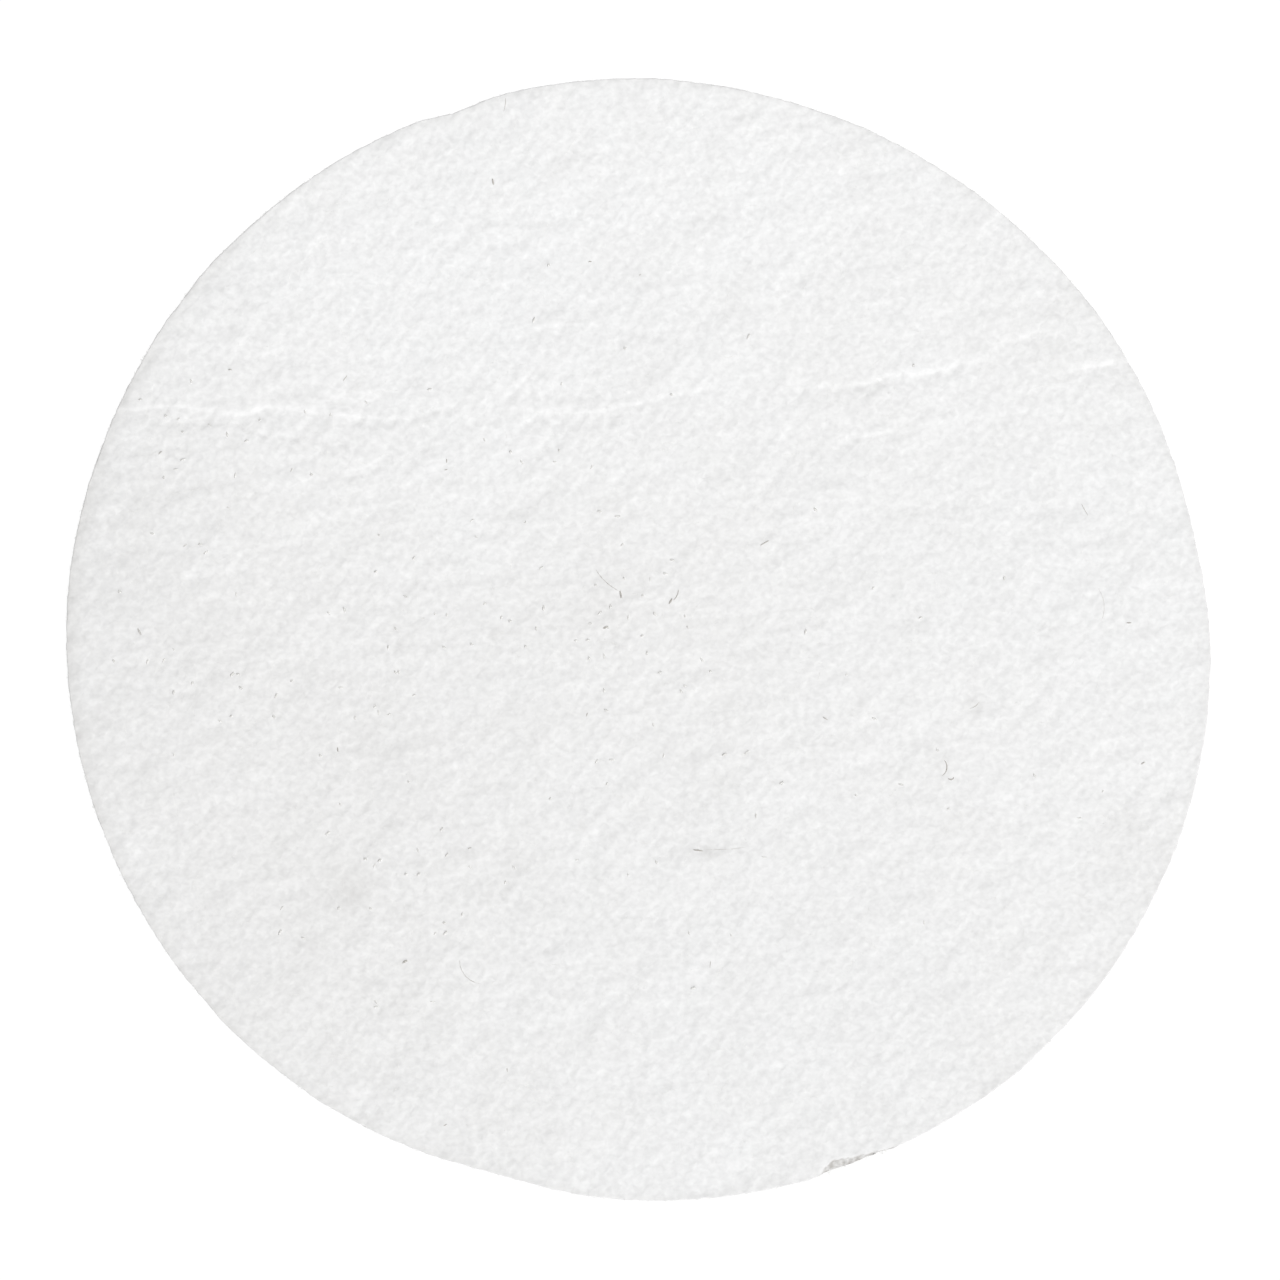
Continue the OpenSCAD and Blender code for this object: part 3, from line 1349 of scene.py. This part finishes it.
@dataclass
class PlantFlecks:
    """The dark bits of plant fibre that scouring left in the wool."""

    felt: FeltPad
    points: int = 7
    # A fleck tapers like the middle of a half wave: how much is cut off its ends, and its power.
    taper_cut: float = 0.35
    taper_power: float = 0.7
    flecks: tuple[Fleck, ...] = (
        Fleck(-19.6, 61.6, 0.8, 100, 0.25, 0, 0.48),
        Fleck(-4.3, 8.0, 4.4, -42, 0.1, 14, 0.45),
        Fleck(-2.5, 6.3, 1.0, -80, 0.28, 0, 0.4),
        Fleck(4.2, 5.4, 0.8, 60, 0.26, 0, 0.4),
        Fleck(5.0, 6.2, 1.6, 65, 0.12, 20, 0.38),
        Fleck(-4.5, 1.9, 0.7, 20, 0.3, 0, 0.42),
        Fleck(41.0, -17.0, 2.4, 82, 0.15, 40, 0.35),
        Fleck(41.8, -18.4, 0.9, 10, 0.21, 50, 0.4),
        Fleck(7.9, -28.0, 1.3, -8, 0.21, 0, 0.4),
        Fleck(11.4, -27.8, 5.6, 3, 0.06, 5, 0.65),
        Fleck(-31.4, -42.9, 0.7, 30, 0.36, 0, 0.5),
        Fleck(-23.0, -44.6, 4.6, -48, 0.085, 35, 0.5),
        Fleck(16.8, 13.2, 1.3, 30, 0.17, 0, 0.53),
        Fleck(-67.0, 1.3, 1.0, 118, 0.24, 0, 0.6),
        Fleck(65.6, 2.5, 0.6, 0, 0.2),
        Fleck(-40.4, -14.5, 0.6, 100, 0.22, 0, 0.4),
        Fleck(24.9, -10.3, 0.8, -30, 0.15),
        Fleck(59.7, 17.6, 1.7, -62, 0.12, 0, 0.6),
        Fleck(-64.2, 25.3, 0.6, 40, 0.18),
        Fleck(-25.8, 24.2, 0.5, 90, 0.16),
        Fleck(-25.9, 23.0, 0.4, 20, 0.14),
        Fleck(67.5, -16.3, 0.6, 30, 0.21, 0, 0.53),
        Fleck(-39.4, 35.3, 0.9, 55, 0.14),
        Fleck(-54.8, 36.4, 0.5, 0, 0.2, 0, 0.6),
        Fleck(-18.0, 71.9, 1.8, 82, 0.09, 12, 0.5),
        Fleck(62.0, 5.0, 4.6, 96, 0.06, 25, 0.6),
        Fleck(-22.7, -27.7, 0.5, 15, 0.16),
        Fleck(-7.0, -9.8, 0.5, 70, 0.15),
        Fleck(-6.6, 50.9, 0.4, 0, 0.18),
        Fleck(0.1, 49.1, 0.4, 45, 0.14),
        Fleck(-17.7, -57.4, 0.5, 100, 0.18, 0, 0.5),
        Fleck(-26.0, -64.8, 0.5, 30, 0.14),
        Fleck(9.5, -43.3, 0.9, 85, 0.11),
        Fleck(-29.0, 3.1, 0.4, 10, 0.1, 0, 0.8),
        Fleck(45.0, -8.6, 1.6, 35, 0.12, 20, 0.63),
    )
    sprinkles: tuple[Sprinkle, ...] = (
        Sprinkle(-4, 3, 8, 40),
        Sprinkle(-55, 26, 8, 18),
        Sprinkle(-56, -2, 7, 20),
        Sprinkle(-30, 0, 9, 22),
        Sprinkle(-33, -32, 8, 26),
        Sprinkle(-20, 28, 11, 16),
        Sprinkle(4, -26, 9, 12),
        Sprinkle(34, 6, 16, 12),
        Sprinkle(45, -20, 14, 8),
    )
    # Specks stay this far inside the outline, in millimetres.
    clear_of_edge: float = 1.5
    seed: int = 43

    def _all_flecks(self) -> list[Fleck]:
        """List the placed flecks and the sprinkled specks that land on the face.

        Returns:
            All flecks, in the order in which they are drawn.
        """
        rng = np.random.default_rng(self.seed)
        flecks = list(self.flecks)
        for sprinkle in self.sprinkles:
            for speck in sprinkle.flecks(rng):
                inset = self.felt.outline.inset_of(np.array([speck.x]), np.array([speck.y]))
                if inset[0] > self.clear_of_edge:
                    flecks.append(speck)
        return flecks

    def build(self) -> bpy.types.Object:
        """Press the flecks into the face.

        Returns:
            The finished piece, not yet dressed.
        """
        flecks = self._all_flecks()
        strands = Strands("plant_flecks")
        along = np.linspace(self.taper_cut, math.pi - self.taper_cut, self.points)
        taper = np.sin(along) ** self.taper_power
        for fleck in flecks:
            line = fleck.line(self.points)
            line[:, 2] = self.felt.top + self.felt.relief(line[:, 0], line[:, 1])
            strands.add(line, taper * fleck.thickness / 2)
        piece = strands.build()
        # Each point takes the cover of the fleck that it belongs to, which is the nearest one.
        spots = points_of(piece.data) / MM
        nearest = np.full(len(spots), np.inf)
        covered = np.zeros(len(spots), np.float32)
        for fleck, line in zip(flecks, strands.lines):
            gap = np.linalg.norm(line[:, None] - spots[None], axis=2).min(0)
            closer = gap < nearest
            nearest[closer] = gap[closer]
            covered[closer] = fleck.covered
        layer = piece.data.attributes.new("covered", "FLOAT", "POINT")
        layer.data.foreach_set("value", covered)
        return piece


# ---------------------------------------------------------------- the back


@dataclass
class Backing:
    """The adhesive film and the release liner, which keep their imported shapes."""

    film: str = "adhesive_film"
    liner: str = "release_liner"

    def dress(self, adhesive: AcrylicAdhesive, paper: LinerPaper) -> None:
        """Give both layers their finishes.

        Args:
            adhesive: The film's finish.
            paper: The liner's finish.
        """
        finishes = {
            self.film: (adhesive.material(), Slot.ADHESIVE),
            self.liner: (paper.material(), Slot.PAPER),
        }
        for name, (material, slot) in finishes.items():
            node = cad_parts[name]
            node.material_slots[0].material = material
            LOG.info("%s keeps its packed shape, in %s", name, material.name)


# ---------------------------------------------------------------- the studio


@dataclass(frozen=True)
class Lamp:
    """A soft round lamp: where it hangs, how wide it is, in metres, and its power in watts."""

    name: str
    place: tuple[float, float, float]
    width: float
    power: float

    def hang(self) -> None:
        """Add the lamp, pointed at the disc."""
        bpy.ops.object.light_add(type="AREA", location=self.place)
        lamp = bpy.context.object
        lamp.name = self.name
        lamp.data.shape = "DISK"
        lamp.data.size = self.width
        lamp.data.energy = self.power
        x, y, z = self.place
        tilt = math.atan2(math.hypot(x, y), z)
        lamp.rotation_euler = (tilt, 0, math.atan2(y, x) + math.pi / 2)
        lamp.visible_camera = False


@dataclass
class Studio:
    """A lit white table, a pale surround, two soft lamps and a camera straight above."""

    # Width of the view at the face, and how far the view's middle is from the disc's, in mm.
    view_width: float = 171.5
    off_centre: tuple[float, float] = (0.1, 0.2)
    # Millimetres, as on a camera.
    lens: float = 100.0
    sensor: float = 36.0
    # The table's width and its drop below the liner, in metres.
    table_width: float = 8.0
    table_drop: float = 0.05 * MM
    # Strength of the light from all round.
    surround: float = 0.3
    lamps: tuple[Lamp, ...] = (
        Lamp("overhead_softbox", (0.27, 0.28, 1.04), 0.7, 7.1),
        Lamp("window", (1.5, -4.9, 2.95), 2.6, 179.0),
    )

    def camera(self, face_height: float) -> None:
        """Hang the camera over the face so that its view is view_width wide there.

        Args:
            face_height: Height of the polishing face, in millimetres.
        """
        distance = self.view_width * self.lens / self.sensor
        place = (self.off_centre[0] * MM, self.off_centre[1] * MM, (face_height + distance) * MM)
        bpy.ops.object.camera_add(location=place, rotation=(0, 0, 0))
        camera = bpy.context.object
        camera.data.lens = self.lens
        camera.data.sensor_width = self.sensor
        camera.data.clip_start = 0.01
        camera.data.clip_end = 20
        bpy.context.scene.camera = camera

    def table(self, finish: GlowingAcrylic) -> None:
        """Put the table just under the liner.

        Args:
            finish: The table's finish.
        """
        bpy.ops.mesh.primitive_plane_add(size=self.table_width, location=(0, 0, -self.table_drop))
        table = bpy.context.object
        table.name = "table"
        table.data.materials.append(finish.material())

    def surroundings(self) -> None:
        """Light everything evenly from all round, and keep the colours as they are."""
        scene = bpy.context.scene
        world = bpy.data.worlds.new("pale_room")
        scene.world = world
        world.use_nodes = True
        back = next(n for n in world.node_tree.nodes if n.type == "BACKGROUND")
        back.inputs["Color"].default_value = (1, 1, 1, 1)
        back.inputs["Strength"].default_value = self.surround
        scene.view_settings.view_transform = "Standard"
        scene.view_settings.look = "None"
        scene.view_settings.exposure = 0
        scene.view_settings.gamma = 1

    def build(self, face_height: float) -> None:
        """Set up the whole studio.

        Args:
            face_height: Height of the polishing face, in millimetres.
        """
        deselect_all()
        self.camera(face_height)
        self.table(GlowingAcrylic())
        for lamp in self.lamps:
            lamp.hang()
        self.surroundings()


def main() -> None:
    """Build every piece in order."""
    logging.basicConfig(level=logging.INFO, format="%(message)s")
    outline = CutOutline.of_node("felt_pad")
    low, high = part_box("felt_pad")
    felt = FeltPad(outline, bottom=low.z / MM, top=high.z / MM)
    disc = felt.build()
    LOG.info("%s: %d faces", disc.name, len(disc.data.polygons))

    hair = WoolHair().material()
    hairs = LooseHairs(felt).build()
    fuzz = RimFuzz(felt).build()
    flecks = PlantFlecks(felt).build()
    for piece, material in ((hairs, hair), (fuzz, hair), (flecks, PlantFibre().material())):
        Strands.dress(piece, material)
        LOG.info("%s: %d faces", piece.name, len(piece.data.polygons))
    felt.dress(WoolFelt(), [hairs, fuzz, flecks])
    Backing().dress(AcrylicAdhesive(), LinerPaper())
    Studio().build(felt.top)


if __name__ == "__main__":
    main()
